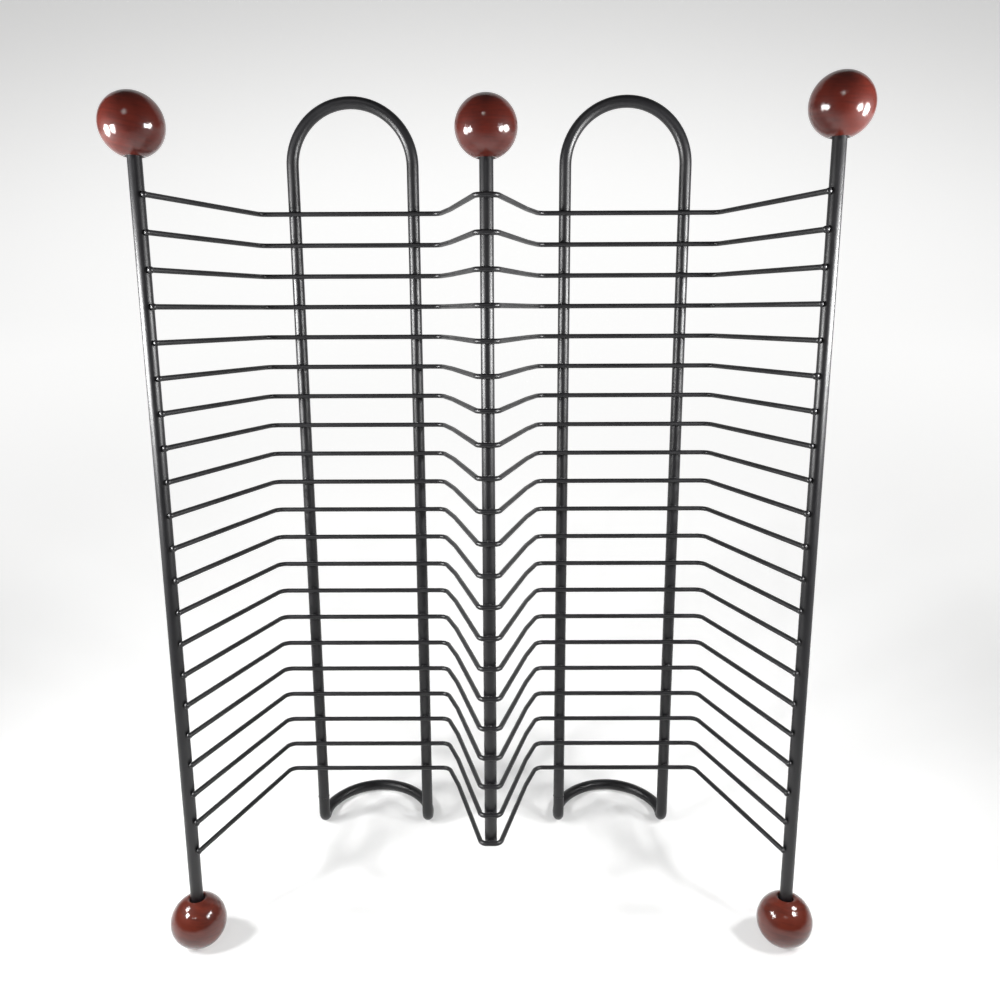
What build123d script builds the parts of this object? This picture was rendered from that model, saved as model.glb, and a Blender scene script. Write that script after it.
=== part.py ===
from build123d import *
import os
from math import asin, atan2, cos, hypot, radians, sin, sqrt, tan

# A two-column CD tower of welded rod and wire, leaning back on two ball feet and two foot loops.
# Sizes are in millimetres. The floor is Z = 0, the user stands at -Y and the rack leans towards +Y.
# The rack has a frame of its own: X across, Y from the outer posts to the back, Z up along the posts,
# with its zero at the middle between the two foot balls.

LEAN = 10.0

ROD_DIAMETER = 6.35
WIRE_DIAMETER = 2.5
# Room left between rods and wires that are welded where they touch
WELD_GAP = 0.05

WIRE_COUNT = 21
SLOT_PITCH = 16.0
# From the foot balls' centre to the lowest wire
FIRST_WIRE_HEIGHT = 41.5
# From the highest wire to the top balls' centre
TOP_BALL_RISE = 29.0
# The right top ball isn't driven home on its post: it stands this much higher than the other two
RIGHT_BALL_PROUD = 6.4

# The outer posts stand this far from the middle, so a 142 mm case passes beside the centre post
POST_X = 153.0

# One wire, half of it: flat across the centre post, back to the loops, and out to the outer post
FLAT_HALF_WIDTH = 4.8
FLAT_Y = 3.9
KINK_X = 19.5
KINK_Y = 62.0
BACK_INNER_X = 26.2
BACK_OUTER_X = 121.0
BACK_Y = 82.2
FLAT_BEND_RADIUS = 3.6
KINK_BEND_RADIUS = 20.0
BACK_BEND_RADIUS = 5.4
# How far the wire's end runs on past the place where it touches the outer post
WIRE_OVERRUN = 1.5

# The two loops behind the wires, bent from closed rings of rod
LOOP_X = 72.0
LOOP_WIDTH = 63.4
ARCH_RISE = 56.0
HEEL_BEND_RADIUS = 5.0
FOOT_SIDE_RADIUS = 20.0
# From the legs' corner to the back of the foot, on the rod's centre line
FOOT_REACH = 32.0

BALL_DIAMETER = 28.0
BORE_CLEARANCE = 0.15
BORE_END_CLEARANCE = 0.1
# How far a rod's end goes in past the ball's centre
ROD_PAST_CENTRE = 4.0
MOUTH_DIAMETER = 9.0
MOUTH_ANGLE = 70.0
ROD_END_CHAMFER = 0.5

rod_radius = ROD_DIAMETER / 2
wire_radius = WIRE_DIAMETER / 2
ball_radius = BALL_DIAMETER / 2
touch = rod_radius + wire_radius + WELD_GAP

# The centre post stands behind the wires' flats, and the loops' legs behind the back straights
centre_post_y = FLAT_Y + touch
leg_y = BACK_Y + touch

top_wire_height = FIRST_WIRE_HEIGHT + (WIRE_COUNT - 1) * SLOT_PITCH
top_ball_height = top_wire_height + TOP_BALL_RISE
arch_height = top_wire_height + ARCH_RISE

lean_sine = sin(radians(LEAN))
lean_cosine = cos(radians(LEAN))

# The whole rack is moved along Y so that its box is centred on the origin
back_of_arch = leg_y * lean_cosine + arch_height * lean_sine + rod_radius
rack_shift = (ball_radius - back_of_arch) / 2

rack = Plane(
    origin=(0, rack_shift, ball_radius),
    x_dir=(1, 0, 0),
    z_dir=(0, lean_sine, lean_cosine),
)

os.makedirs("parts", exist_ok=True)


def in_rack(x, y, z):
    """Gives a point of the rack's own frame in the part's frame."""
    return rack.from_local_coords(Vector(x, y, z))


def save(piece, label):
    """Labels a finished piece and writes its file."""
    piece.part.label = label
    export_step(piece.part, f"parts/{label}.step")


# Posts


def make_post(x, y, bottom, top):
    """A straight rod along the rack's Z, with both ends chamfered."""
    with BuildPart() as post:
        with BuildSketch(Plane(in_rack(x, y, bottom), rack.x_dir, rack.z_dir)):
            Circle(rod_radius)
        extrude(amount=top - bottom)
        chamfer(post.edges().filter_by(GeomType.CIRCLE), ROD_END_CHAMFER)
    return post


post_bottom = -ROD_PAST_CENTRE
post_top = top_ball_height + ROD_PAST_CENTRE
centre_post_bottom = FIRST_WIRE_HEIGHT - wire_radius

left_post = make_post(-POST_X, 0, post_bottom, post_top)
save(left_post, "left_post")

right_post = make_post(POST_X, 0, post_bottom, post_top)
save(right_post, "right_post")

centre_post = make_post(0, centre_post_y, centre_post_bottom, post_top)
save(centre_post, "centre_post")


# Balls


def make_ball(x, y, z, opening):
    """A ball with a blind countersunk bore that opens along the given direction."""
    bore_radius = rod_radius + BORE_CLEARANCE
    mouth_radius = MOUTH_DIAMETER / 2
    mouth_height = sqrt(ball_radius**2 - mouth_radius**2)
    bore_depth = mouth_height + ROD_PAST_CENTRE + BORE_END_CLEARANCE
    with BuildPart(Plane(in_rack(x, y, z), rack.x_dir, opening)) as ball:
        Sphere(ball_radius)
        with Locations((0, 0, mouth_height)):
            CounterSinkHole(
                radius=bore_radius,
                counter_sink_radius=mouth_radius,
                depth=bore_depth,
                counter_sink_angle=MOUTH_ANGLE,
            )
    return ball


post_places = {
    "left": (-POST_X, 0),
    "centre": (0, centre_post_y),
    "right": (POST_X, 0),
}
top_ball_lifts = {"left": 0, "centre": 0, "right": RIGHT_BALL_PROUD}
for side, (x, y) in post_places.items():
    top_ball = make_ball(x, y, top_ball_height + top_ball_lifts[side], -rack.z_dir)
    save(top_ball, f"top_ball_{side}")

for side in ("left", "right"):
    x, y = post_places[side]
    foot_ball = make_ball(x, y, 0, rack.z_dir)
    save(foot_ball, f"foot_ball_{side}")


# Loops

# The legs' centre lines meet the foot's centre line here, with the foot's rod lying on the floor
corner_height = (rod_radius - ball_radius + leg_y * lean_sine) / lean_cosine
# Length that the heel's bend takes from the leg and from the foot
heel_tangent = HEEL_BEND_RADIUS * tan(radians((90 + LEAN) / 2))
loop_half_width = LOOP_WIDTH / 2
# The foot is a three-centred arch: two side arcs, and a wider one across the back
foot_depth = FOOT_REACH - heel_tangent
side_offset = loop_half_width - FOOT_SIDE_RADIUS
toe_radius = (side_offset**2 + foot_depth**2 - FOOT_SIDE_RADIUS**2) / (
    2 * (foot_depth - FOOT_SIDE_RADIUS)
)
toe_centre = foot_depth - toe_radius
# The side arc and the back arc meet on the line through their two centres
shoulder_share = toe_radius / (toe_radius - FOOT_SIDE_RADIUS)


def make_loop(x):
    """A closed ring of rod: an arch, two legs, two heel bends and a foot that lies on the floor."""
    corner_y = in_rack(0, leg_y, corner_height).Y

    def on_leg(side, height):
        return in_rack(x + side * loop_half_width, leg_y, height)

    def on_foot(dx, dy):
        return Vector(x + dx, corner_y + heel_tangent + dy, rod_radius)

    spring_height = arch_height - loop_half_width
    shoulder_x = side_offset * shoulder_share
    shoulder_y = toe_centre * (1 - shoulder_share)
    with BuildPart() as loop:
        with BuildLine() as path:
            right_leg = Line(on_leg(1, corner_height + heel_tangent), on_leg(1, spring_height))
            arch = TangentArc(right_leg @ 1, on_leg(-1, spring_height), tangent=right_leg % 1)
            left_leg = Line(arch @ 1, on_leg(-1, corner_height + heel_tangent))
            left_heel = TangentArc(
                left_leg @ 1, on_foot(-loop_half_width, 0), tangent=left_leg % 1
            )
            left_side = TangentArc(
                left_heel @ 1, on_foot(-shoulder_x, shoulder_y), tangent=left_heel % 1
            )
            toe = TangentArc(
                left_side @ 1, on_foot(shoulder_x, shoulder_y), tangent=left_side % 1
            )
            right_side = TangentArc(toe @ 1, on_foot(loop_half_width, 0), tangent=toe % 1)
            TangentArc(right_side @ 1, right_leg @ 0, tangent=right_side % 1)
        with BuildSketch(Plane(origin=path.line @ 0, z_dir=path.line % 0)):
            Circle(rod_radius)
        sweep(path=path.line)
    return loop


left_loop = make_loop(-LOOP_X)
save(left_loop, "left_loop")

right_loop = make_loop(LOOP_X)
save(right_loop, "right_loop")


# Wires

# The outer slope of a wire leaves the back bend so that it just clears the outer post's inner side
slope_length = hypot(POST_X - BACK_OUTER_X, BACK_Y)
slope_angle = atan2(-BACK_Y, POST_X - BACK_OUTER_X) - asin(touch / slope_length)
slope_run = sqrt(slope_length**2 - touch**2) + WIRE_OVERRUN
end_x = BACK_OUTER_X + slope_run * cos(slope_angle)
end_y = BACK_Y + slope_run * sin(slope_angle)

half_wire = [
    (FLAT_HALF_WIDTH, FLAT_Y),
    (KINK_X, KINK_Y),
    (BACK_INNER_X, BACK_Y),
    (BACK_OUTER_X, BACK_Y),
    (end_x, end_y),
]
half_bends = [FLAT_BEND_RADIUS, KINK_BEND_RADIUS, BACK_BEND_RADIUS, BACK_BEND_RADIUS]


def make_wire(height):
    """One W-shaped wire across both columns, in a plane square to the posts."""
    mirrored = [(-x, y) for x, y in reversed(half_wire)]
    with BuildPart() as wire:
        with BuildLine(rack.offset(height)) as path:
            FilletPolyline(mirrored + half_wire, radius=half_bends[::-1] + half_bends)
        with BuildSketch(Plane(origin=path.line @ 0, z_dir=path.line % 0)):
            Circle(wire_radius)
        sweep(path=path.line)
    return wire


# Numbered from the top, as the slots are filled
for number in range(1, WIRE_COUNT + 1):
    wire_height = top_wire_height - (number - 1) * SLOT_PITCH
    wire = make_wire(wire_height)
    save(wire, f"wire_{number:02d}")
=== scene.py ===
"""Looks for a two-column CD tower of black rod and wire with lacquered wooden balls.

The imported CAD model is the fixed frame. Every rod, wire and ball is modelled again here with finer
curves, rounded ends and lips, and the weld beads that the CAD leaves out are added.
"""

from math import asin, atan2, cos, hypot, pi, radians, sin, sqrt, tan

import bpy
from bpy.props import FloatProperty, FloatVectorProperty, IntProperty, PointerProperty
from mathutils import Matrix, Vector


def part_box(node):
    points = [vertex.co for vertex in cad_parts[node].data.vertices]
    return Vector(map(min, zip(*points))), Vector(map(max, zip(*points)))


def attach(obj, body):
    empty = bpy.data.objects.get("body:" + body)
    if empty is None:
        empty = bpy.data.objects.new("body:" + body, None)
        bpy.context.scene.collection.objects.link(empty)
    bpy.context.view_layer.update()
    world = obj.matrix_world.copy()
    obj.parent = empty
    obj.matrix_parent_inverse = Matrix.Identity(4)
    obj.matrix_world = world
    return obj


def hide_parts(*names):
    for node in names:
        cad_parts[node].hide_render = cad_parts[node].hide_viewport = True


bl_info = {
    "name": "CD Tower Rack",
    "version": (1, 0, 0),
    "blender": (4, 5, 0),
    "location": "View3D > Sidebar > CD Tower",
    "description": "Builds a leaning two-column wire CD tower with wooden balls",
    "category": "Add Mesh",
}

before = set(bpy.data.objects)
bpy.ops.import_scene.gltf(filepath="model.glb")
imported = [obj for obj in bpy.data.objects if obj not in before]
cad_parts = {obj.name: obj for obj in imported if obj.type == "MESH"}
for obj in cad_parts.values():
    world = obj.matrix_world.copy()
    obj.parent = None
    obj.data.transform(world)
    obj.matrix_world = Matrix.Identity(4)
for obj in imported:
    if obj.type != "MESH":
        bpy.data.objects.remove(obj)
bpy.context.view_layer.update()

BODY = "root"
COAT_SLOT = "black_powder_coat"
WOOD_SLOT = "lacquered_wood"


# Sizes and colours that a user would change


class RackSizes(bpy.types.PropertyGroup):
    lean: FloatProperty(
        name="Lean", description="How far the posts lean back", default=radians(10), subtype="ANGLE"
    )
    rod_diameter: FloatProperty(
        name="Rod", description="Posts and loops", default=0.00635, unit="LENGTH"
    )
    wire_diameter: FloatProperty(
        name="Wire", description="Shelf wires", default=0.0025, unit="LENGTH"
    )
    weld_gap: FloatProperty(
        name="Weld gap", description="Room between welded pieces", default=0.00005, unit="LENGTH"
    )
    wire_count: IntProperty(name="Wires", description="Shelf wires, top to bottom", default=21)
    slot_pitch: FloatProperty(
        name="Slot pitch", description="From wire to wire", default=0.016, unit="LENGTH"
    )
    first_wire_height: FloatProperty(
        name="First wire", description="Foot ball to lowest wire", default=0.0415, unit="LENGTH"
    )
    top_ball_rise: FloatProperty(
        name="Top balls", description="Highest wire to ball", default=0.029, unit="LENGTH"
    )
    right_ball_proud: FloatProperty(
        name="Right ball", description="How proud it stands", default=0.0064, unit="LENGTH"
    )
    post_x: FloatProperty(
        name="Post offset", description="Middle to outer post", default=0.153, unit="LENGTH"
    )
    arch_rise: FloatProperty(
        name="Arch", description="Highest wire to top of arch", default=0.056, unit="LENGTH"
    )
    loop_x: FloatProperty(
        name="Loop offset", description="Middle to loop", default=0.072, unit="LENGTH"
    )
    loop_width: FloatProperty(
        name="Loop width", description="Leg to leg", default=0.0634, unit="LENGTH"
    )
    heel_bend_radius: FloatProperty(
        name="Heel bend", description="Bend at a leg's foot", default=0.005, unit="LENGTH"
    )
    foot_side_radius: FloatProperty(
        name="Foot side", description="Side arcs of the foot", default=0.020, unit="LENGTH"
    )
    foot_reach: FloatProperty(
        name="Foot reach", description="Leg to back of foot", default=0.032, unit="LENGTH"
    )
    ball_diameter: FloatProperty(
        name="Ball", description="Wooden balls", default=0.028, unit="LENGTH"
    )
    mouth_diameter: FloatProperty(
        name="Mouth", description="Countersink in a ball", default=0.009, unit="LENGTH"
    )
    bore_diameter: FloatProperty(
        name="Bore", description="Hole in a ball", default=0.00665, unit="LENGTH"
    )
    rod_past_centre: FloatProperty(
        name="Rod depth", description="Rod past a ball's centre", default=0.004, unit="LENGTH"
    )


class RackColours(bpy.types.PropertyGroup):
    powder_coat: FloatVectorProperty(
        name="Powder coat",
        description="Rods and wires",
        default=(0.0052, 0.0052, 0.0062),
        subtype="COLOR",
    )
    stain: FloatVectorProperty(
        name="Stain",
        description="Wood of the top balls between the grain",
        default=(0.066, 0.0090, 0.0052),
        subtype="COLOR",
    )
    grain: FloatVectorProperty(
        name="Grain",
        description="Dark lines of the top balls",
        default=(0.041, 0.0068, 0.0048),
        subtype="COLOR",
    )
    foot_stain: FloatVectorProperty(
        name="Foot stain",
        description="Wood of the ball feet between the grain",
        default=(0.098, 0.0160, 0.0085),
        subtype="COLOR",
    )
    foot_grain: FloatVectorProperty(
        name="Foot grain",
        description="Dark lines of the ball feet",
        default=(0.058, 0.0110, 0.0070),
        subtype="COLOR",
    )
    bore_wall: FloatVectorProperty(
        name="Bore wall",
        description="Inside a ball's hole",
        default=(0.020, 0.008, 0.006),
        subtype="COLOR",
    )
    floor: FloatVectorProperty(
        name="Floor",
        description="Floor and backdrop",
        default=(0.58, 0.58, 0.577),
        subtype="COLOR",
    )


# The rack's own frame: X across, Y from the outer posts to the back, Z up along the posts, with
# its zero at the middle between the foot balls


def sizes():
    return bpy.context.scene.rack_sizes


def colours():
    return bpy.context.scene.rack_colours


def touch():
    """From a rod's centre line to the centre line of a wire that is welded to it."""
    s = sizes()
    return s.rod_diameter / 2 + s.wire_diameter / 2 + s.weld_gap


FLAT_Y = 0.0039
BACK_Y = 0.0822


def centre_post_y():
    return FLAT_Y + touch()


def leg_y():
    return BACK_Y + touch()


def wire_height(number):
    """Height of a wire along the posts. Wire 1 is the highest."""
    s = sizes()
    return s.first_wire_height + (s.wire_count - number) * s.slot_pitch


def top_ball_height():
    return wire_height(1) + sizes().top_ball_rise


def arch_height():
    return wire_height(1) + sizes().arch_rise


def rack_matrix():
    """Turns the rack's own frame into the part's. The foot balls stand where the CAD has them."""
    s = sizes()
    low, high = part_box("foot_ball_left")
    middle_y = (low[1] + high[1]) / 2
    lean = Matrix.Rotation(-s.lean, 4, "X")
    return Matrix.Translation((0, middle_y, s.ball_diameter / 2)) @ lean


def in_rack(x, y, z):
    return rack_matrix() @ Vector((x, y, z))


def rack_direction(x, y, z):
    return rack_matrix().to_3x3() @ Vector((x, y, z))


# Modelling by hand: a ring of points is drawn along straight runs and round bends


def start_rod(name, place, direction, diameter, sides):
    """Adds an open ring square to the rod's direction and enters edit mode on it."""
    bpy.ops.object.select_all(action="DESELECT")
    turn = direction.to_track_quat("Z", "Y").to_euler()
    bpy.ops.mesh.primitive_circle_add(
        vertices=sides, radius=diameter / 2, fill_type="NOTHING", location=place, rotation=turn
    )
    rod = bpy.context.object
    rod.name = name
    rod.data.name = name
    bpy.ops.object.transform_apply(location=True, rotation=True, scale=True)
    bpy.ops.object.mode_set(mode="EDIT")
    bpy.ops.mesh.select_all(action="SELECT")
    return rod


def run_straight(reach):
    bpy.ops.mesh.extrude_region_move(TRANSFORM_OT_translate={"value": reach})


def run_bend(centre, axis, angle, steps):
    """Spins the ring round a bend. The operator turns the other way from the right-hand rule."""
    bpy.ops.mesh.spin(steps=steps, angle=-angle, center=centre, axis=axis)


def run_route(start, moves):
    """Draws the ring along straight runs and bends, and gives the place where it ends."""
    place = Vector(start)
    for move in moves:
        if move["kind"] == "straight":
            run_straight(move["to"] - place)
            place = move["to"]
        else:
            run_bend(move["centre"], move["axis"], move["angle"], move["steps"])
            turn = Matrix.Rotation(move["angle"], 3, move["axis"])
            place = move["centre"] + turn @ (place - move["centre"])
    return place


SEAM_MERGE_DISTANCE = 0.00002
SHARP_ANGLE = radians(50)
END_BEVEL_SEGMENTS = 3


def finish_rod(rod, closed, end_bevel):
    """Closes the rod, rounds its ends and shades it."""
    bpy.ops.mesh.select_all(action="SELECT")
    if closed:
        bpy.ops.mesh.remove_doubles(threshold=SEAM_MERGE_DISTANCE)
    else:
        bpy.ops.mesh.fill_holes(sides=0)
    bpy.ops.mesh.select_all(action="SELECT")
    bpy.ops.mesh.normals_make_consistent(inside=False)
    bpy.ops.object.mode_set(mode="OBJECT")
    if end_bevel > 0:
        bevel = rod.modifiers.new("rounded ends", "BEVEL")
        bevel.width = end_bevel
        bevel.segments = END_BEVEL_SEGMENTS
        bevel.limit_method = "ANGLE"
        bevel.angle_limit = SHARP_ANGLE
        bpy.ops.object.modifier_apply(modifier=bevel.name)
    bpy.ops.object.shade_smooth_by_angle(angle=SHARP_ANGLE)


def straight(to):
    return {"kind": "straight", "to": to}


def bend(centre, axis, angle, steps):
    return {"kind": "bend", "centre": centre, "axis": axis, "angle": angle, "steps": steps}


def rounded_route(points, radii, steps_per_turn):
    """Moves along a polyline whose corners are rounded, in any plane."""
    moves = []
    for before, corner, after, radius in zip(points, points[1:], points[2:], radii):
        arrive = (corner - before).normalized()
        leave = (after - corner).normalized()
        angle = arrive.angle(leave)
        axis = arrive.cross(leave).normalized()
        tangent = radius * tan(angle / 2)
        moves.append(straight(corner - arrive * tangent))
        centre = corner - arrive * tangent + axis.cross(arrive) * radius
        steps = max(2, round(steps_per_turn * angle / (2 * pi)))
        moves.append(bend(centre, axis, angle, steps))
    moves.append(straight(points[-1]))
    return moves


def settle(piece, material, slot, *nodes):
    """Gives a finished piece its material and its body, and hides the CAD nodes that it stands for.
    """
    piece.data.materials.clear()
    for each in material if isinstance(material, list) else [material]:
        piece.data.materials.append(each)
    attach(piece, BODY)
    if nodes:
        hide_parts(*nodes)


def copied(piece, name, move):
    """A copy with a mesh of its own, moved in its mesh so that the object stays at the origin."""
    twin = piece.copy()
    twin.data = piece.data.copy()
    twin.name = name
    twin.data.name = name
    twin.data.transform(move)
    bpy.context.collection.objects.link(twin)
    return twin


# Materials

# Orange peel and patches of the powder coat, as noise over the Object coordinates
PEEL_SCALE = 1500
PEEL_STRENGTH = 0.5
PEEL_HEIGHT = 0.0001
PATCH_SCALE = 60
PATCH_RANGE = (0.3, 0.7)
COAT_ROUGHNESS = (0.355, 0.43)
PATCH_TINT = (1.5, 1.45, 1.4)
COAT_SPECULAR = 0.5

# The grain is noise drawn out along the ball's own X, with broader clouds in it
FIBRE_STRETCH = (55, 110, 900)
FIBRE_SHARE = 0.55
CLOUD_SCALE = 95
GRAIN_END = 0.34
STAIN_START = 0.56
RIPPLE_SCALE = 520
RIPPLE_STRENGTH = 0.6
RIPPLE_HEIGHT = 0.0002
WOOD_ROUGHNESS = 0.5
WOOD_SPECULAR = 0.08
LACQUER_ROUGHNESS = 0.075
LACQUER_IOR = 1.5

BORE_NOISE_SCALE = 900
BORE_TINT = (2.2, 1.8, 1.8)
BORE_ROUGHNESS = 0.7

PAPER_ROUGHNESS = 0.75
PAPER_SPECULAR = 0.2
PAPER_GLOW_COLOUR = (1, 1, 0.995, 1)
# Painted light: how bright the paper glows by itself near the rack, behind it and far away
PAPER_GLOW = 0.13
PAPER_GLOW_BEHIND = 0.77
PAPER_GLOW_FAR = 0.88
PAPER_FAR = 1.5
# Where between the rack and far away the middle glow lies
PAPER_BEHIND_SHARE = 0.34
PAPER_PLAN_SCALE = (0.8, 1, 0)
# Painted shade: the paper's glow falls to this share towards the top corners
PAPER_CORNER_SHADE_SHARE = 0.55
PAPER_TOP_SCALE = (0.28, 0, 1)
PAPER_TOP_RANGE = (0.2, 1.0)
# Glossy surfaces stop seeing the glow between these two places in front of the rack
PAPER_FRONT_RANGE = (-1.1, -0.2)


def new_material(name):
    material = bpy.data.materials.new(name)
    material.use_nodes = True
    nodes = material.node_tree.nodes
    return material, nodes, material.node_tree.links, nodes["Principled BSDF"]


def add_noise(nodes, links, vector, scale, detail=2, roughness=0.5):
    noise = nodes.new("ShaderNodeTexNoise")
    noise.inputs["Scale"].default_value = scale
    noise.inputs["Detail"].default_value = detail
    noise.inputs["Roughness"].default_value = roughness
    links.new(vector, noise.inputs["Vector"])
    return noise.outputs["Fac"]


def add_bump(nodes, links, height, strength, distance):
    bump = nodes.new("ShaderNodeBump")
    bump.inputs["Strength"].default_value = strength
    bump.inputs["Distance"].default_value = distance
    links.new(height, bump.inputs["Height"])
    return bump.outputs["Normal"]


def add_range(nodes, links, value, source, target=(0, 1)):
    """Maps the source's range on the target's."""
    mapped = nodes.new("ShaderNodeMapRange")
    mapped.inputs["From Min"].default_value = source[0]
    mapped.inputs["From Max"].default_value = source[1]
    mapped.inputs["To Min"].default_value = target[0]
    mapped.inputs["To Max"].default_value = target[1]
    links.new(value, mapped.inputs["Value"])
    return mapped


def add_math(nodes, links, operation, first, second):
    """Joins two sockets, or a socket and a number, by a sum."""
    sum_node = nodes.new("ShaderNodeMath")
    sum_node.operation = operation
    links.new(first, sum_node.inputs[0])
    if isinstance(second, (int, float)):
        sum_node.inputs[1].default_value = second
    else:
        links.new(second, sum_node.inputs[1])
    return sum_node


def add_tint(nodes, links, factor, base, tint):
    """A colour that runs from the base to the base times the tint."""
    tone = nodes.new("ShaderNodeMix")
    tone.data_type = "RGBA"
    tone.inputs["A"].default_value = (*base, 1)
    tone.inputs["B"].default_value = (*(part * more for part, more in zip(base, tint)), 1)
    links.new(factor, tone.inputs["Factor"])
    return tone.outputs["Result"]


def add_reach(nodes, links, vector, scale):
    """Distance from the origin, with each axis scaled."""
    scaled = nodes.new("ShaderNodeMapping")
    scaled.inputs["Scale"].default_value = scale
    links.new(vector, scaled.inputs["Vector"])
    reach = nodes.new("ShaderNodeVectorMath")
    reach.operation = "LENGTH"
    links.new(scaled.outputs["Vector"], reach.inputs[0])
    return reach.outputs["Value"]


def powder_coat():
    """Satin black powder coat with the fine orange peel that it dries with."""
    if "powder_coat" in bpy.data.materials:
        return bpy.data.materials["powder_coat"]
    material, nodes, links, shader = new_material("powder_coat")
    place = nodes.new("ShaderNodeTexCoord").outputs["Object"]
    peel = add_noise(nodes, links, place, PEEL_SCALE, detail=3, roughness=0.55)
    skin = add_bump(nodes, links, peel, PEEL_STRENGTH, PEEL_HEIGHT)
    links.new(skin, shader.inputs["Normal"])
    patches = add_noise(nodes, links, place, PATCH_SCALE, detail=4)
    gloss = add_range(nodes, links, patches, PATCH_RANGE, COAT_ROUGHNESS)
    links.new(gloss.outputs["Result"], shader.inputs["Roughness"])
    tone = add_tint(nodes, links, patches, colours().powder_coat, PATCH_TINT)
    links.new(tone, shader.inputs["Base Color"])
    shader.inputs["Specular IOR Level"].default_value = COAT_SPECULAR
    return material


def lacquered_wood(name, centre, axis_turn, stain, grain):
    """Red-brown stained wood with faint grain under a thick gloss lacquer."""
    material, nodes, links, shader = new_material(name)
    place = nodes.new("ShaderNodeTexCoord")
    board = nodes.new("ShaderNodeMapping")
    board.vector_type = "TEXTURE"
    board.inputs["Location"].default_value = centre
    board.inputs["Rotation"].default_value = axis_turn
    links.new(place.outputs["Object"], board.inputs["Vector"])
    stretched = nodes.new("ShaderNodeMapping")
    stretched.inputs["Scale"].default_value = FIBRE_STRETCH
    links.new(board.outputs["Vector"], stretched.inputs["Vector"])
    fibres = add_noise(nodes, links, stretched.outputs["Vector"], 1, detail=5, roughness=0.6)
    clouds = add_noise(nodes, links, board.outputs["Vector"], CLOUD_SCALE, detail=3)
    share = add_math(nodes, links, "MULTIPLY", clouds, 1 - FIBRE_SHARE)
    both = add_math(nodes, links, "MULTIPLY_ADD", fibres, FIBRE_SHARE)
    links.new(share.outputs["Value"], both.inputs[2])
    shades = nodes.new("ShaderNodeValToRGB")
    ends = shades.color_ramp.elements
    for end, position, colour in ((ends[0], GRAIN_END, grain), (ends[1], STAIN_START, stain)):
        end.position = position
        end.color = (*colour, 1)
    links.new(both.outputs["Value"], shades.inputs["Fac"])
    links.new(shades.outputs["Color"], shader.inputs["Base Color"])
    board_place = board.outputs["Vector"]
    ripples = add_noise(nodes, links, board_place, RIPPLE_SCALE, detail=5, roughness=0.6)
    skin = add_bump(nodes, links, ripples, RIPPLE_STRENGTH, RIPPLE_HEIGHT)
    links.new(skin, shader.inputs["Coat Normal"])
    shader.inputs["Roughness"].default_value = WOOD_ROUGHNESS
    shader.inputs["Specular IOR Level"].default_value = WOOD_SPECULAR
    shader.inputs["Coat Weight"].default_value = 1.0
    shader.inputs["Coat Roughness"].default_value = LACQUER_ROUGHNESS
    shader.inputs["Coat IOR"].default_value = LACQUER_IOR
    return material


def bore_wall():
    """Dull dark wood inside a ball's hole."""
    if "bore_wall" in bpy.data.materials:
        return bpy.data.materials["bore_wall"]
    material, nodes, links, shader = new_material("bore_wall")
    place = nodes.new("ShaderNodeTexCoord").outputs["Object"]
    rings = add_noise(nodes, links, place, BORE_NOISE_SCALE)
    tone = add_tint(nodes, links, rings, colours().bore_wall, BORE_TINT)
    links.new(tone, shader.inputs["Base Color"])
    shader.inputs["Roughness"].default_value = BORE_ROUGHNESS
    return material


def white_paper():
    """Floor and backdrop: pale paper that keeps its shadows and shows white to the camera by a
    painted glow.
    """
    material, nodes, links, shader = new_material("white_paper")
    shader.inputs["Base Color"].default_value = (*colours().floor, 1)
    shader.inputs["Roughness"].default_value = PAPER_ROUGHNESS
    shader.inputs["Specular IOR Level"].default_value = PAPER_SPECULAR
    seen = nodes.new("ShaderNodeLightPath")
    place = nodes.new("ShaderNodeTexCoord").outputs["Object"]
    # Glossy surfaces show the painted glow as a painted reflection, but not far in front of the rack
    apart = nodes.new("ShaderNodeSeparateXYZ")
    links.new(place, apart.inputs["Vector"])
    near = add_range(nodes, links, apart.outputs["Y"], PAPER_FRONT_RANGE).outputs["Result"]
    in_gloss = add_math(nodes, links, "MULTIPLY", seen.outputs["Is Glossy Ray"], near)
    camera_or_gloss = add_math(
        nodes, links, "MAXIMUM", seen.outputs["Is Camera Ray"], in_gloss.outputs["Value"]
    )
    # Painted shade: the paper's glow falls off towards the top corners
    high = add_reach(nodes, links, place, PAPER_TOP_SCALE)
    painted_corner_shade = add_range(nodes, links, high, PAPER_TOP_RANGE, (1, PAPER_CORNER_SHADE_SHARE))
    painted_corner_shade.interpolation_type = "SMOOTHSTEP"
    # Painted light: the paper's glow grows paler away from the rack, where the lamps reach it less
    away = add_reach(nodes, links, place, PAPER_PLAN_SCALE)
    depth = add_range(nodes, links, away, (0, PAPER_FAR))
    painted_light_ramp = nodes.new("ShaderNodeValToRGB")
    painted_light_ramp.color_ramp.interpolation = "B_SPLINE"
    stops = painted_light_ramp.color_ramp.elements
    middle = stops.new(PAPER_BEHIND_SHARE)
    glows = ((stops[0], PAPER_GLOW), (middle, PAPER_GLOW_BEHIND), (stops[2], PAPER_GLOW_FAR))
    for stop, glow in glows:
        stop.color = (glow, glow, glow, 1)
    links.new(depth.outputs["Result"], painted_light_ramp.inputs["Fac"])
    both = add_math(
        nodes, links, "MULTIPLY", painted_corner_shade.outputs["Result"], painted_light_ramp.outputs["Color"]
    )
    glow = add_math(
        nodes, links, "MULTIPLY", camera_or_gloss.outputs["Value"], both.outputs["Value"]
    )
    shader.inputs["Emission Color"].default_value = PAPER_GLOW_COLOUR
    links.new(glow.outputs["Value"], shader.inputs["Emission Strength"])
    return material


# Camera, lamps, floor and world


# Where the photograph was taken from, and how the camera was turned
CAMERA_PLACE = (0.0074, -0.4216, 0.39105)
CAMERA_TURN = (radians(68.00), radians(0.27), radians(0.17))
LENS = 31.95
SENSOR_WIDTH = 36
CLIP_START = 0.01

# What the lamp in front and above is turned to
RACK_MIDDLE = (0, 0, 0.2)

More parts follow.
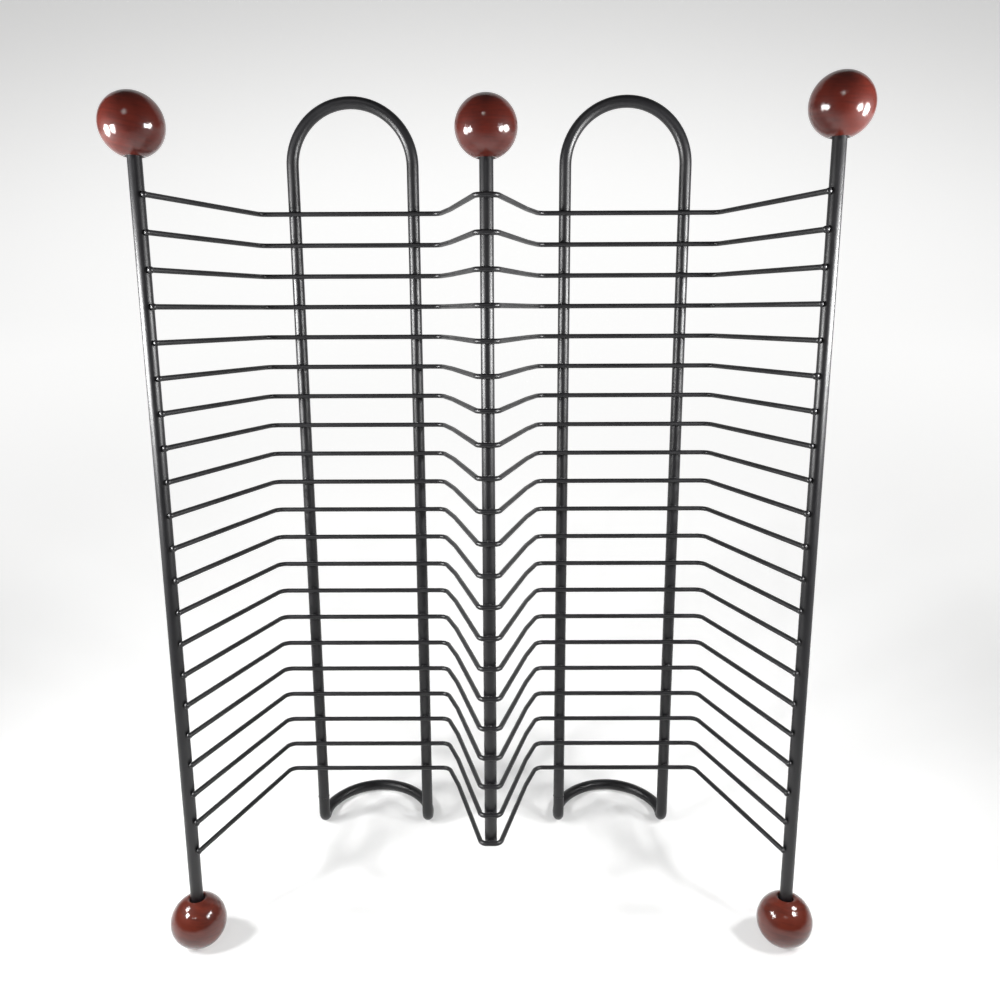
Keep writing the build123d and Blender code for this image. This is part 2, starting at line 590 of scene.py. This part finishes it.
# Two bare bulbs at each side, close to the rack
BULB_WIDTH = 0.056
BULB_HEIGHT = 0.095
BULB_SPREAD = 0.150
LEFT_BULB_POWER = 2.3
RIGHT_BULB_POWER = 2.0
LEFT_BULBS = (-0.385, -0.148, 0.340)
RIGHT_BULBS = (0.358, -0.143, 0.363)
CEILING_LAMP = (-0.19, -1.03, 1.32)
CEILING_LAMP_SIZE = 0.03
CEILING_LAMP_POWER = 1.6
OVERHEAD_PLACE = (0.0, 0.3, 1.5)
OVERHEAD_SIZE = 1.8
OVERHEAD_POWER = 1.0
WORLD_GREY = 0.13
WORLD_GREY_IN_GLOSS = 0.04
# What the camera sees of the world beyond its own grey
WORLD_GREY_TO_CAMERA = 0.65

FLOOR_HALF = 2.5
SWEEP_RADIUS = 0.6
SWEEP_STEPS = 16
EDGE_TOLERANCE = 0.001
BACKDROP_Y = 1.6
BACKDROP_HEIGHT = 2.2


def add_camera():
    bpy.ops.object.select_all(action="DESELECT")
    bpy.ops.object.camera_add(location=CAMERA_PLACE, rotation=CAMERA_TURN)
    camera = bpy.context.object
    camera.name = "photo_camera"
    camera.data.sensor_width = SENSOR_WIDTH
    camera.data.lens = LENS
    camera.data.clip_start = CLIP_START
    bpy.context.scene.camera = camera


def add_lamp(name, place, target, size, power):
    bpy.ops.object.select_all(action="DESELECT")
    turn = (Vector(target) - Vector(place)).to_track_quat("-Z", "Y").to_euler()
    bpy.ops.object.light_add(type="AREA", location=place, rotation=turn)
    lamp = bpy.context.object
    lamp.name = name
    lamp.data.shape = "DISK"
    lamp.data.size = size
    lamp.data.energy = power
    return lamp


def add_sweep():
    """A sheet of paper that runs over the floor and curves up into the backdrop."""
    bpy.ops.object.select_all(action="DESELECT")
    bpy.ops.mesh.primitive_plane_add(size=2 * FLOOR_HALF, location=(0, BACKDROP_Y - FLOOR_HALF, 0))
    sweep = bpy.context.object
    sweep.name = "paper_sweep"
    bpy.ops.object.transform_apply(location=True, rotation=True, scale=True)
    bpy.ops.object.mode_set(mode="EDIT")
    bpy.ops.mesh.select_all(action="DESELECT")
    bpy.ops.object.mode_set(mode="OBJECT")
    for edge in sweep.data.edges:
        ends = [sweep.data.vertices[i].co.y for i in edge.vertices]
        edge.select = min(ends) > BACKDROP_Y - EDGE_TOLERANCE
    bpy.ops.object.mode_set(mode="EDIT")
    bpy.ops.mesh.select_mode(type="EDGE")
    bpy.ops.mesh.spin(
        steps=SWEEP_STEPS, angle=-pi / 2, center=(0, BACKDROP_Y, SWEEP_RADIUS), axis=(1, 0, 0)
    )
    bpy.ops.mesh.extrude_region_move(TRANSFORM_OT_translate={"value": (0, 0, BACKDROP_HEIGHT)})
    bpy.ops.mesh.select_mode(type="VERT")
    bpy.ops.object.mode_set(mode="OBJECT")
    bpy.ops.object.shade_smooth()
    sweep.data.materials.append(white_paper())


def set_world():
    world = bpy.data.worlds.new("studio")
    bpy.context.scene.world = world
    world.use_nodes = True
    background = world.node_tree.nodes["Background"]
    background.inputs["Color"].default_value = (1, 1, 1, 1)
    # The room round the paper is dark, which glossy surfaces show, but the camera sees it pale
    nodes = world.node_tree.nodes
    links = world.node_tree.links
    seen = nodes.new("ShaderNodeLightPath").outputs
    greys = (WORLD_GREY, WORLD_GREY_IN_GLOSS)
    strength = add_range(nodes, links, seen["Is Glossy Ray"], (0, 1), greys)
    pale = add_math(
        nodes, links, "MULTIPLY_ADD", seen["Is Camera Ray"], WORLD_GREY_TO_CAMERA
    )
    links.new(strength.outputs["Result"], pale.inputs[2])
    links.new(pale.outputs["Value"], background.inputs["Strength"])


class RACK_OT_stage(bpy.types.Operator):
    """Add the camera, the lamps, the paper and the world"""

    bl_idname = "rack.stage"
    bl_label = "Stage"

    def execute(self, context):
        add_camera()
        add_sweep()
        set_world()
        sides = (
            ("left", LEFT_BULBS, LEFT_BULB_POWER),
            ("right", RIGHT_BULBS, RIGHT_BULB_POWER),
        )
        for side, (x, y, z), power in sides:
            for number, shift in ((1, -BULB_SPREAD / 2), (2, BULB_SPREAD / 2)):
                target = (0, 0, z)
                place = (x, y + shift, z)
                bulb = add_lamp(f"bulb_{side}_{number}", place, target, BULB_WIDTH, power)
                bulb.data.shape = "ELLIPSE"
                bulb.data.size_y = BULB_HEIGHT
        add_lamp(
            "ceiling_lamp", CEILING_LAMP, RACK_MIDDLE, CEILING_LAMP_SIZE, CEILING_LAMP_POWER
        )
        overhead = add_lamp(
            "overhead_light", OVERHEAD_PLACE, (0, 0, 0), OVERHEAD_SIZE, OVERHEAD_POWER
        )
        overhead.visible_glossy = False
        context.scene.view_settings.view_transform = "Standard"
        return {"FINISHED"}


# Posts

ROD_SIDES = 28
ROD_END_BEVEL = 0.0005


def make_post(name, x, y, bottom, top):
    up = rack_direction(0, 0, 1)
    start = in_rack(x, y, bottom)
    post = start_rod(name, start, up, sizes().rod_diameter, ROD_SIDES)
    run_straight(in_rack(x, y, top) - start)
    finish_rod(post, closed=False, end_bevel=ROD_END_BEVEL)
    return post


class RACK_OT_posts(bpy.types.Operator):
    """Add the two outer posts and the centre post"""

    bl_idname = "rack.posts"
    bl_label = "Posts"

    def execute(self, context):
        s = sizes()
        top = top_ball_height() + s.rod_past_centre
        lowest = wire_height(s.wire_count) - s.wire_diameter / 2
        places = {
            "left": (-s.post_x, 0, -s.rod_past_centre),
            "centre": (0, centre_post_y(), lowest),
            "right": (s.post_x, 0, -s.rod_past_centre),
        }
        for side, (x, y, bottom) in places.items():
            post = make_post(f"{side}_post_rod", x, y, bottom, top)
            settle(post, powder_coat(), COAT_SLOT, f"{side}_post")
        return {"FINISHED"}


# Loops

ARCH_STEPS = 40
HEEL_STEPS = 12
FOOT_SIDE_STEPS = 14
FOOT_BACK_STEPS = 18
# The butt weld that closes a loop lies this far above the leg's corner, on its left leg
BUTT_WELD_HEIGHT = 0.016
BUTT_WELD_BULGE = 0.00022
BUTT_WELD_ROUGHNESS = 0.00009
BUTT_WELD_SIDES = 36
BUTT_WELD_RINGS = 10


def make_loop(name, x):
    """A closed ring of rod, drawn from the butt weld on its left leg down and round."""
    s = sizes()
    rod_radius = s.rod_diameter / 2
    ball_radius = s.ball_diameter / 2
    half = s.loop_width / 2
    corner_height = (rod_radius - ball_radius + leg_y() * sin(s.lean)) / cos(s.lean)
    heel_turn = pi / 2 + s.lean
    heel_tangent = s.heel_bend_radius * tan(heel_turn / 2)
    corner = in_rack(0, leg_y(), corner_height)
    foot_y = corner.y + heel_tangent
    # The foot's three centres
    depth = s.foot_reach - heel_tangent
    side_offset = half - s.foot_side_radius
    toe_radius = (side_offset**2 + depth**2 - s.foot_side_radius**2) / (
        2 * (depth - s.foot_side_radius)
    )
    toe_y = foot_y + depth - toe_radius
    side_turn = atan2(toe_radius - depth, side_offset)
    toe_turn = pi - 2 * side_turn

    seam_height = corner_height + BUTT_WELD_HEIGHT
    seam = in_rack(x - half, leg_y(), seam_height)
    down = rack_direction(0, 0, -1)
    loop = start_rod(name, seam, down, s.rod_diameter, ROD_SIDES)

    across = Vector((1, 0, 0))
    up = Vector((0, 0, 1))
    back = rack_direction(0, 1, 0)
    spring_height = arch_height() - half
    low_left = in_rack(x - half, leg_y(), corner_height + heel_tangent)
    low_right = in_rack(x + half, leg_y(), corner_height + heel_tangent)
    heel_rise = Vector((0, 0, s.heel_bend_radius))
    left_heel = Vector((x - half, foot_y, rod_radius)) + heel_rise
    right_heel = Vector((x + half, foot_y, rod_radius)) + heel_rise
    left_side = Vector((x - side_offset, foot_y, rod_radius))
    right_side = Vector((x + side_offset, foot_y, rod_radius))
    toe = Vector((x, toe_y, rod_radius))
    moves = [
        straight(low_left),
        bend(left_heel, across, heel_turn, HEEL_STEPS),
        bend(left_side, -up, side_turn, FOOT_SIDE_STEPS),
        bend(toe, -up, toe_turn, FOOT_BACK_STEPS),
        bend(right_side, -up, side_turn, FOOT_SIDE_STEPS),
        bend(right_heel, across, -heel_turn, HEEL_STEPS),
        straight(in_rack(x + half, leg_y(), spring_height)),
        bend(in_rack(x, leg_y(), spring_height), back, -pi, ARCH_STEPS),
        straight(seam),
    ]
    run_route(seam, moves)
    finish_rod(loop, closed=True, end_bevel=0)
    return loop


class RACK_OT_loops(bpy.types.Operator):
    """Add the two rear loops"""

    bl_idname = "rack.loops"
    bl_label = "Loops"

    def execute(self, context):
        for side, x in (("left", -sizes().loop_x), ("right", sizes().loop_x)):
            loop = make_loop(f"{side}_loop_rod", x)
            settle(loop, powder_coat(), COAT_SLOT, f"{side}_loop")
        return {"FINISHED"}


# Wires

WIRE_SIDES = 16
WIRE_END_BEVEL = 0.0004
BEND_STEPS_PER_TURN = 44
FLAT_HALF_WIDTH = 0.0048
KINK = (0.0195, 0.062)
BACK_INNER_X = 0.0262
BACK_OUTER_X = 0.121
FLAT_BEND_RADIUS = 0.0036
KINK_BEND_RADIUS = 0.020
BACK_BEND_RADIUS = 0.0054
WIRE_OVERRUN = 0.0015


def slope():
    """Length and angle of a wire's outer slope, which just clears the outer post's inner side."""
    across = sizes().post_x - BACK_OUTER_X
    to_post = hypot(across, BACK_Y)
    angle = atan2(-BACK_Y, across) - asin(touch() / to_post)
    return sqrt(to_post**2 - touch() ** 2), angle


def half_wire():
    """Corner points of a wire's right half, from the centre post to the outer post."""
    length, angle = slope()
    end = (
        BACK_OUTER_X + (length + WIRE_OVERRUN) * cos(angle),
        BACK_Y + (length + WIRE_OVERRUN) * sin(angle),
    )
    return [(FLAT_HALF_WIDTH, FLAT_Y), KINK, (BACK_INNER_X, BACK_Y), (BACK_OUTER_X, BACK_Y), end]


def make_wire(name, height):
    half = half_wire()
    corners = [(-x, y) for x, y in reversed(half)] + half
    points = [in_rack(x, y, height) for x, y in corners]
    bends = [FLAT_BEND_RADIUS, KINK_BEND_RADIUS, BACK_BEND_RADIUS, BACK_BEND_RADIUS]
    start_direction = (points[1] - points[0]).normalized()
    wire = start_rod(name, points[0], start_direction, sizes().wire_diameter, WIRE_SIDES)
    run_route(points[0], rounded_route(points, bends[::-1] + bends, BEND_STEPS_PER_TURN))
    finish_rod(wire, closed=False, end_bevel=WIRE_END_BEVEL)
    return wire


class RACK_OT_wires(bpy.types.Operator):
    """Add the W-shaped shelf wires"""

    bl_idname = "rack.wires"
    bl_label = "Shelf wires"

    def execute(self, context):
        top = wire_height(1)
        first = make_wire("shelf_wire_01", top)
        wires = [first]
        for number in range(2, sizes().wire_count + 1):
            drop = rack_direction(0, 0, wire_height(number) - top)
            wires.append(copied(first, f"shelf_wire_{number:02d}", Matrix.Translation(drop)))
        for number, wire in enumerate(wires, start=1):
            settle(wire, powder_coat(), COAT_SLOT, f"wire_{number:02d}")
        return {"FINISHED"}


# Weld beads

BEAD_SEGMENTS = 10
BEAD_RINGS = 6
# Half sizes of a bead along X, Y and Z of the rack
NUGGET_SIZE = (0.0014, 0.0017, 0.0015)
SEAM_BEAD_SIZE = (0.0012, 0.00055, 0.00050)
# A nugget lies this share of the overrun past the place where wire and post touch
NUGGET_SHARE = 0.6
NUGGET_TURN = 0.33
# How high over the wire and how far into the crook behind it a seam bead lies
SEAM_BEAD_LIFT = 0.95
CROOK_SHARE = 0.55
# Every bead is a little unlike the one above it
BEAD_GROWTH = 0.10
BEAD_TILT = 0.35
BEAD_VARIATION = (5200, 900)


def make_bead(name, place, half_size, turn):
    """One bead of weld metal: a ball squashed and turned."""
    bpy.ops.object.select_all(action="DESELECT")
    bpy.ops.mesh.primitive_uv_sphere_add(segments=BEAD_SEGMENTS, ring_count=BEAD_RINGS, radius=1)
    bead = bpy.context.object
    bead.name = name
    bpy.ops.object.mode_set(mode="EDIT")
    bpy.ops.mesh.select_all(action="SELECT")
    bpy.ops.transform.resize(value=half_size)
    bpy.ops.object.mode_set(mode="OBJECT")
    lean = rack_matrix().to_3x3().to_4x4()
    bead.data.transform(Matrix.Translation(place) @ lean @ Matrix.Rotation(turn, 4, "Z"))
    bpy.ops.object.shade_smooth()
    return bead


def make_bead_row(name, x, y, half_size, turn, heights):
    """The same bead at every wire along one rod, joined into one piece."""
    first = make_bead(name, in_rack(x, y, heights[0]), half_size, turn)
    row = [first]
    for height in heights[1:]:
        wobble = sin(height * BEAD_VARIATION[0] + x * BEAD_VARIATION[1])
        middle = Matrix.Translation(in_rack(x, y, heights[0]))
        size = Matrix.Scale(1 + BEAD_GROWTH * wobble, 4)
        tilt = Matrix.Rotation(BEAD_TILT * wobble, 4, "Z")
        drop = Matrix.Translation(in_rack(x, y, height))
        row.append(copied(first, name, drop @ tilt @ size @ middle.inverted()))
    bpy.ops.object.select_all(action="DESELECT")
    for bead in row:
        bead.select_set(True)
    bpy.context.view_layer.objects.active = first
    bpy.ops.object.join()
    return first


def butt_weld(name, x):
    """The ground-down ring where a loop's two ends were welded together."""
    s = sizes()
    rod_radius = s.rod_diameter / 2
    corner_height = (rod_radius - s.ball_diameter / 2 + leg_y() * sin(s.lean)) / cos(s.lean)
    place = in_rack(x - s.loop_width / 2, leg_y(), corner_height + BUTT_WELD_HEIGHT)
    bpy.ops.object.select_all(action="DESELECT")
    bpy.ops.mesh.primitive_torus_add(
        major_radius=rod_radius,
        minor_radius=BUTT_WELD_BULGE,
        major_segments=BUTT_WELD_SIDES,
        minor_segments=BUTT_WELD_RINGS,
        location=place,
        rotation=(-s.lean, 0, 0),
    )
    ring = bpy.context.object
    ring.name = name
    bpy.ops.object.transform_apply(location=True, rotation=True, scale=True)
    bpy.ops.object.mode_set(mode="EDIT")
    bpy.ops.mesh.select_all(action="SELECT")
    bpy.ops.transform.vertex_random(offset=BUTT_WELD_ROUGHNESS, seed=7)
    bpy.ops.object.mode_set(mode="OBJECT")
    bpy.ops.object.shade_smooth()
    return ring


class RACK_OT_welds(bpy.types.Operator):
    """Add the weld beads where wires cross rods, and the loops' butt welds"""

    bl_idname = "rack.welds"
    bl_label = "Weld beads"

    def execute(self, context):
        s = sizes()
        heights = [wire_height(number) for number in range(1, s.wire_count + 1)]
        wire_top = s.wire_diameter / 2
        rows = {}
        # At the outer posts a nugget wraps the wire's end
        length, angle = slope()
        reach = length + NUGGET_SHARE * WIRE_OVERRUN
        for side, sign in (("left", -1), ("right", 1)):
            x = sign * (BACK_OUTER_X + reach * cos(angle))
            y = BACK_Y + reach * sin(angle)
            rows[f"{side}_post_welds"] = (x, y, NUGGET_SIZE, sign * NUGGET_TURN, heights)
        # At the centre post and the legs a small bead lies in the crook over the wire
        over = [height + wire_top * SEAM_BEAD_LIFT for height in heights]
        crook = (s.weld_gap + s.wire_diameter / 2) * CROOK_SHARE
        rows["centre_post_welds"] = (0, FLAT_Y + crook, SEAM_BEAD_SIZE, 0, over)
        half = s.loop_width / 2
        legs = {
            "left_loop_outer": -s.loop_x - half,
            "left_loop_inner": -s.loop_x + half,
            "right_loop_inner": s.loop_x - half,
            "right_loop_outer": s.loop_x + half,
        }
        for leg, x in legs.items():
            rows[f"{leg}_welds"] = (x, BACK_Y + crook, SEAM_BEAD_SIZE, 0, over)
        for name, (x, y, half_size, turn, where) in rows.items():
            row = make_bead_row(name, x, y, half_size, turn, where)
            settle(row, powder_coat(), COAT_SLOT)
        for side, x in (("left", -s.loop_x), ("right", s.loop_x)):
            ring = butt_weld(f"{side}_loop_butt_weld", x)
            settle(ring, powder_coat(), COAT_SLOT)
        return {"FINISHED"}


# Balls

BALL_SEGMENTS = 96
BALL_RINGS = 48
LIP_WIDTH = 0.00055
LIP_SEGMENTS = 4
# The bore's wall is what lies within these shares of its radius and of the rod's depth
BORE_WALL_MARGIN = 1.02
BORE_WALL_REACH = 1.5
LIP_ANGLE = radians(35)
BALL_SHARP_ANGLE = radians(40)
# Turns about X, Y and Z from one ball's grain to the next
GRAIN_STEP = (0.12, -0.13, 0.9)
GRAIN_SLANT = 0.2


def make_ball(name, place, opening):
    """A turned ball whose pole is cut off, countersunk and bored, with rounded lips."""
    s = sizes()
    ball_radius = s.ball_diameter / 2
    mouth_radius = s.mouth_diameter / 2
    bore_radius = s.bore_diameter / 2
    mouth_height = sqrt(ball_radius**2 - mouth_radius**2)
    bpy.ops.object.select_all(action="DESELECT")
    bpy.ops.mesh.primitive_uv_sphere_add(
        segments=BALL_SEGMENTS, ring_count=BALL_RINGS, radius=ball_radius
    )
    ball = bpy.context.object
    ball.name = name
    ball.data.name = name
    bpy.ops.object.mode_set(mode="EDIT")
    bpy.ops.mesh.select_all(action="SELECT")
    bpy.ops.mesh.bisect(plane_co=(0, 0, mouth_height), plane_no=(0, 0, 1), clear_outer=True)
    # Down the countersink and then down the bore
    countersink_depth = mouth_radius - bore_radius
    bpy.ops.mesh.extrude_region_move(
        TRANSFORM_OT_translate={"value": (0, 0, -countersink_depth)}
    )
    narrowing = bore_radius / mouth_radius
    bpy.ops.transform.resize(value=(narrowing, narrowing, 1))
    bore_bottom = mouth_height - countersink_depth + s.rod_past_centre
    bpy.ops.mesh.extrude_region_move(TRANSFORM_OT_translate={"value": (0, 0, -bore_bottom)})
    bpy.ops.mesh.edge_face_add()
    bpy.ops.mesh.select_all(action="SELECT")
    bpy.ops.mesh.normals_make_consistent(inside=False)
    bpy.ops.object.mode_set(mode="OBJECT")
    lip = ball.modifiers.new("rounded lip", "BEVEL")
    lip.width = LIP_WIDTH
    lip.segments = LIP_SEGMENTS
    lip.limit_method = "ANGLE"
    lip.angle_limit = LIP_ANGLE
    bpy.ops.object.modifier_apply(modifier=lip.name)
    # The wall of the bore is dull wood, the rest is lacquered
    for face in ball.data.polygons:
        near_axis = hypot(face.center.x, face.center.y) < bore_radius * BORE_WALL_MARGIN
        above_end = face.center.z > -BORE_WALL_REACH * s.rod_past_centre
        face.material_index = int(near_axis and above_end)
    turn = opening.to_track_quat("Z", "Y").to_matrix().to_4x4()
    ball.data.transform(Matrix.Translation(place) @ turn)
    bpy.ops.object.shade_smooth_by_angle(angle=BALL_SHARP_ANGLE)
    return ball


class RACK_OT_balls(bpy.types.Operator):
    """Add the three top balls and the two ball feet"""

    bl_idname = "rack.balls"
    bl_label = "Wooden balls"

    def execute(self, context):
        s = sizes()
        top = top_ball_height()
        up = rack_direction(0, 0, 1)
        balls = {
            "top_ball_left": (-s.post_x, 0, top, -up),
            "top_ball_centre": (0, centre_post_y(), top, -up),
            "top_ball_right": (s.post_x, 0, top + s.right_ball_proud, -up),
            "foot_ball_left": (-s.post_x, 0, 0, up),
            "foot_ball_right": (s.post_x, 0, 0, up),
        }
        for number, (node, (x, y, z, opening)) in enumerate(balls.items()):
            place = in_rack(x, y, z)
            ball = make_ball(f"{node}_turned", place, opening)
            # Each ball was turned from its own piece, so its grain lies its own way
            grain_turn = (
                GRAIN_STEP[0] * number - s.lean,
                GRAIN_SLANT + GRAIN_STEP[1] * number,
                GRAIN_STEP[2] * number,
            )
            # The feet look lighter than the top balls, so they have a stain of their own
            tones = colours()
            stain, grain = tones.stain, tones.grain
            if node.startswith("foot"):
                stain, grain = tones.foot_stain, tones.foot_grain
            wood = lacquered_wood(f"lacquered_wood_{node}", place, grain_turn, stain, grain)
            settle(ball, [wood, bore_wall()], WOOD_SLOT, node)
        return {"FINISHED"}


# Panel and registration


class RACK_PT_panel(bpy.types.Panel):
    """Lists the rack's groups of pieces"""

    bl_idname = "RACK_PT_panel"
    bl_label = "CD Tower"
    bl_space_type = "VIEW_3D"
    bl_region_type = "UI"
    bl_category = "CD Tower"

    def draw(self, context):
        layout = self.layout
        for step in STEPS:
            layout.operator(step.bl_idname)
        layout.separator()
        for group in (context.scene.rack_sizes, context.scene.rack_colours):
            for name in group.bl_rna.properties.keys():
                if name not in ("rna_type", "name"):
                    layout.prop(group, name)


STEPS = (
    RACK_OT_stage,
    RACK_OT_posts,
    RACK_OT_loops,
    RACK_OT_wires,
    RACK_OT_welds,
    RACK_OT_balls,
)
CLASSES = (RackSizes, RackColours, *STEPS, RACK_PT_panel)


def register():
    for each in CLASSES:
        bpy.utils.register_class(each)
    bpy.types.Scene.rack_sizes = PointerProperty(type=RackSizes)
    bpy.types.Scene.rack_colours = PointerProperty(type=RackColours)


def unregister():
    del bpy.types.Scene.rack_colours
    del bpy.types.Scene.rack_sizes
    for each in reversed(CLASSES):
        bpy.utils.unregister_class(each)


def main():
    register()
    bpy.ops.rack.stage()
    bpy.ops.rack.posts()
    bpy.ops.rack.loops()
    bpy.ops.rack.wires()
    bpy.ops.rack.welds()
    bpy.ops.rack.balls()


if __name__ == "__main__":
    main()
